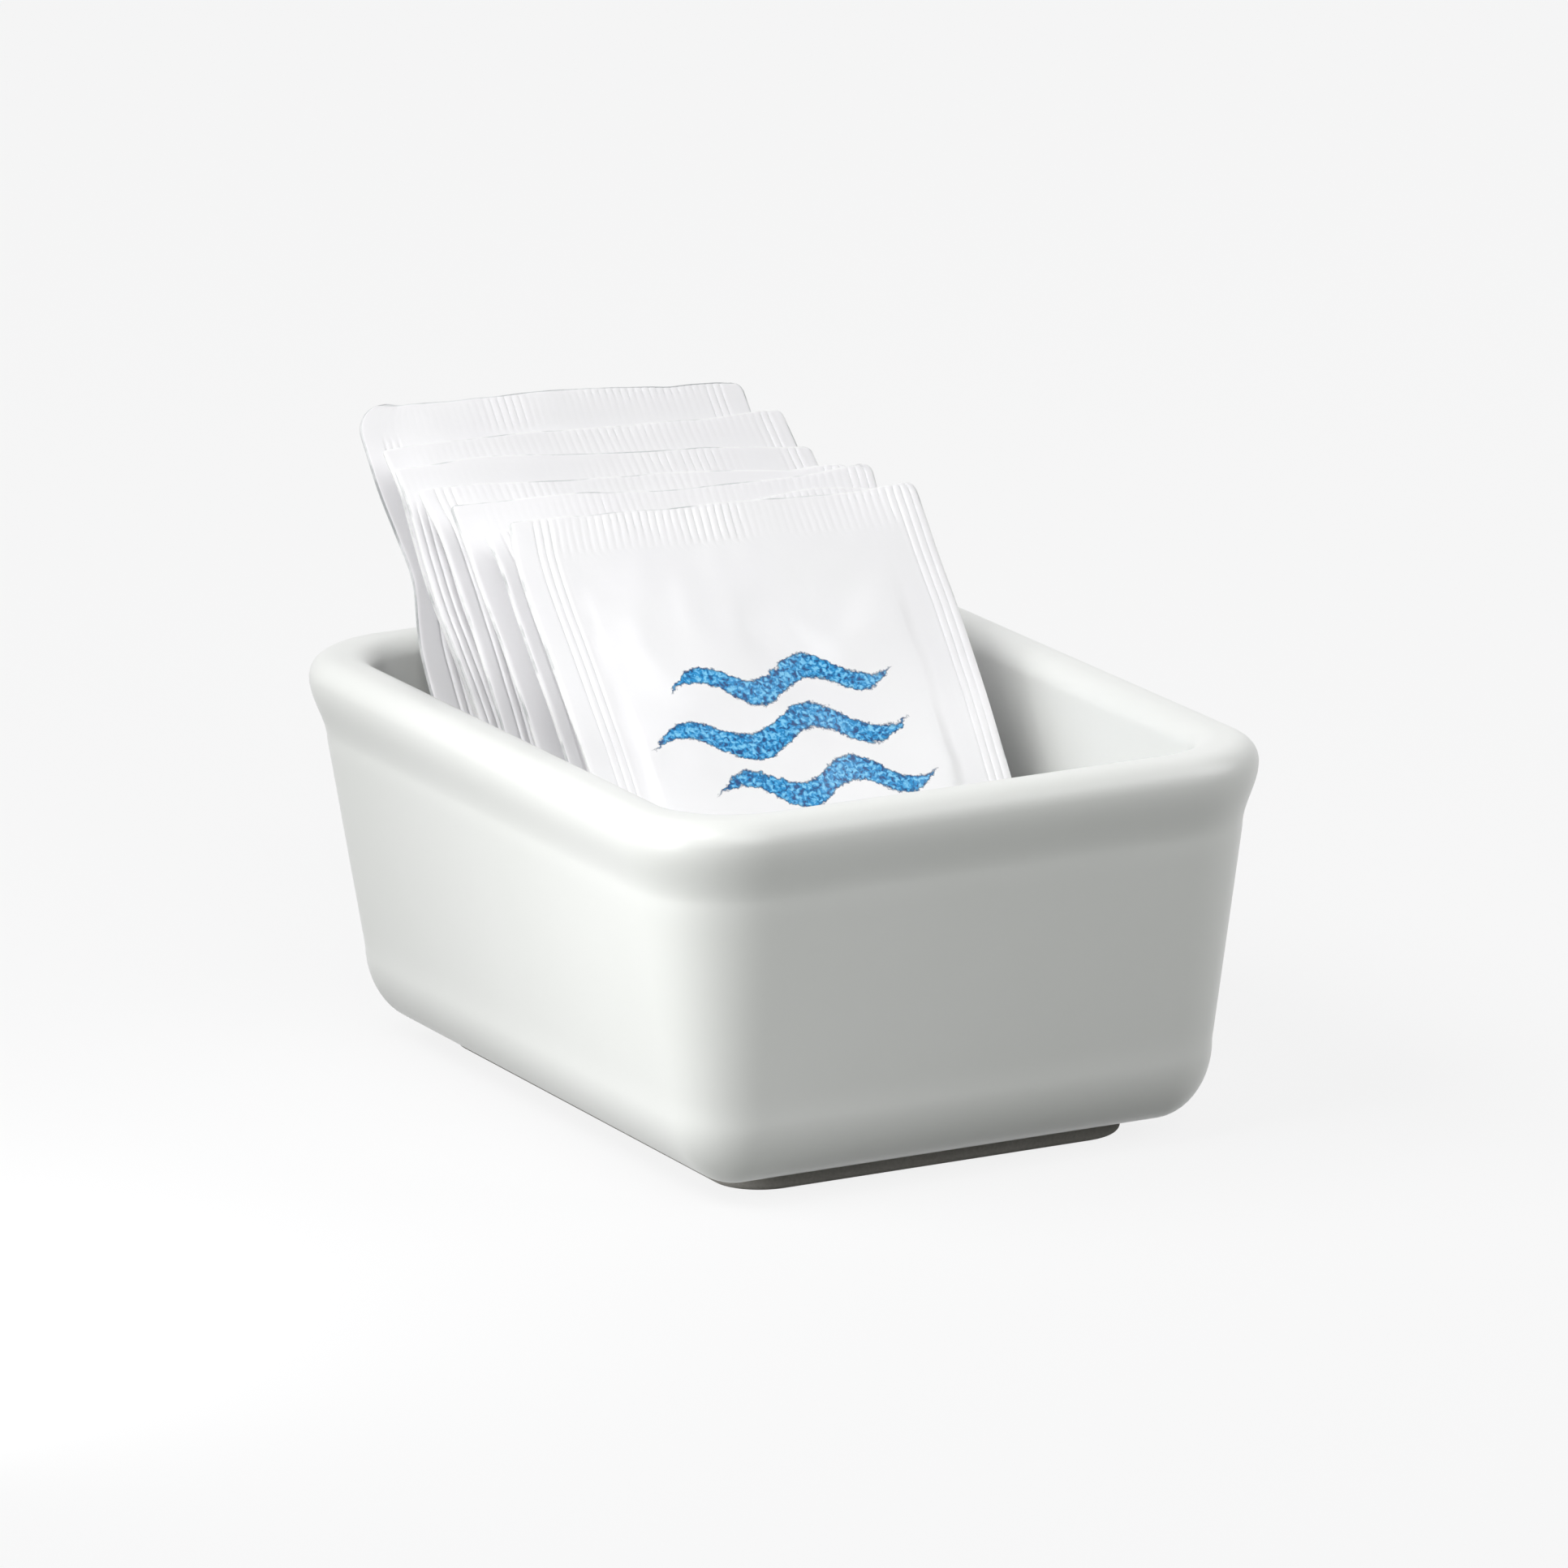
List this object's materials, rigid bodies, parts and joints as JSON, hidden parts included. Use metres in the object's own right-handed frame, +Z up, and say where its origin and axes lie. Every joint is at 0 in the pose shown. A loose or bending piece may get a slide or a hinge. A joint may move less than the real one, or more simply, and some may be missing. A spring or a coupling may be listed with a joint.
{
  "type": "sugar packet holder",
  "caption": "Glazed porcelain caddy with a rolled rim and a recessed foot ring, holding a leaning row of crimped paper sugar packets that lift out.",
  "frame": {"origin": "centre of the foot ring's resting plane, at table level", "axes": "+X to the right seen from the front, +Y to the rear, which is the way the packets lean, +Z up"},
  "size_m": [0.077, 0.117, 0.0669],
  "materials": {
    "glazed_porcelain": "clear gloss glaze over white porcelain",
    "coated_paper": "white paper with a glossy coating, crimped at its seals",
    "printed_paper": null,
    "sugar_fill": "loose white granules"
  },
  "bodies": {
    "dish": {"dish": "glazed_porcelain"},
    "packet_1": {"packet_1_front_web": "printed_paper", "packet_1_back_web": "coated_paper", "packet_1_sugar": "sugar_fill"},
    "packet_2": {"packet_2_front_web": "printed_paper", "packet_2_back_web": "coated_paper", "packet_2_sugar": "sugar_fill"},
    "packet_3": {"packet_3_front_web": "printed_paper", "packet_3_back_web": "coated_paper", "packet_3_sugar": "sugar_fill"},
    "packet_4": {"packet_4_front_web": "printed_paper", "packet_4_back_web": "coated_paper", "packet_4_sugar": "sugar_fill"},
    "packet_5": {"packet_5_front_web": "printed_paper", "packet_5_back_web": "coated_paper", "packet_5_sugar": "sugar_fill"},
    "packet_6": {"packet_6_front_web": "printed_paper", "packet_6_back_web": "coated_paper", "packet_6_sugar": "sugar_fill"},
    "packet_7": {"packet_7_front_web": "printed_paper", "packet_7_back_web": "coated_paper", "packet_7_sugar": "sugar_fill"}
  },
  "joints": [
    {"name": "packet_1_lift", "type": "slide", "parent": "dish", "child": "packet_1", "axis": [0, 0.6088, 0.7934], "range_m": [0, 0.08]},
    {"name": "packet_2_lift", "type": "slide", "parent": "dish", "child": "packet_2", "axis": [0, 0.6088, 0.7934], "range_m": [0, 0.08]},
    {"name": "packet_3_lift", "type": "slide", "parent": "dish", "child": "packet_3", "axis": [0, 0.6088, 0.7934], "range_m": [0, 0.08]},
    {"name": "packet_4_lift", "type": "slide", "parent": "dish", "child": "packet_4", "axis": [0, 0.6088, 0.7934], "range_m": [0, 0.08]},
    {"name": "packet_5_lift", "type": "slide", "parent": "dish", "child": "packet_5", "axis": [0, 0.6088, 0.7934], "range_m": [0, 0.08]},
    {"name": "packet_6_lift", "type": "slide", "parent": "dish", "child": "packet_6", "axis": [0, 0.6088, 0.7934], "range_m": [0, 0.08]},
    {"name": "packet_7_lift", "type": "slide", "parent": "dish", "child": "packet_7", "axis": [0, 0.6088, 0.7934], "range_m": [0, 0.08]}
  ]
}
